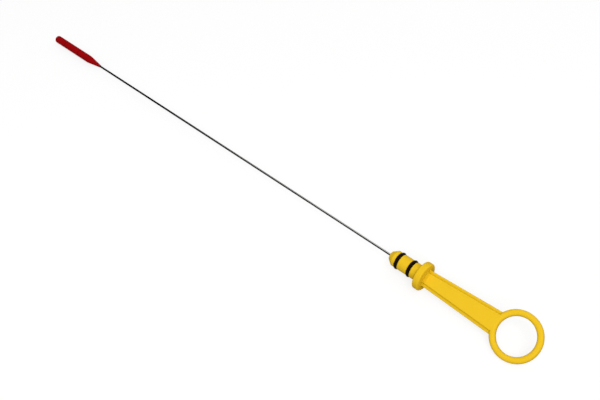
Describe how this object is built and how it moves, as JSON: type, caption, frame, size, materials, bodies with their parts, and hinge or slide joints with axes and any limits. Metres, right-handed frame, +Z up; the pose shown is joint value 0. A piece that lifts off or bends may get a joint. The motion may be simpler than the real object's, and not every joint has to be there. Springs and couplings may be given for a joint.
{
  "type": "engine oil dipstick",
  "caption": "Engine oil dipstick: moulded pull handle with a finger ring, seat flange and O-ring sealing plug, a straight steel wire and a round moulded gauge tip with level grooves.",
  "frame": {"origin": "on the surface that the dipstick lies on, under the middle of its length and width", "axes": "+X along the stick towards the finger ring, +Y across the stick, +Z up from the surface; the stick's own axis drops about one degree towards the gauge tip, and the ring leans about 36 degrees onto its -Y side"},
  "size_m": [0.5854, 0.0338, 0.0265],
  "materials": {
    "handle_plastic": "moulded yellow nylon, satin",
    "seal_rubber": "black nitrile rubber",
    "wire_steel": "drawn spring steel",
    "tip_plastic": "moulded red nylon"
  },
  "bodies": {
    "root": {"handle": "handle_plastic", "front_o_ring": "seal_rubber", "rear_o_ring": "seal_rubber", "wire": "wire_steel", "gauge_tip": "tip_plastic"}
  },
  "joints": []
}
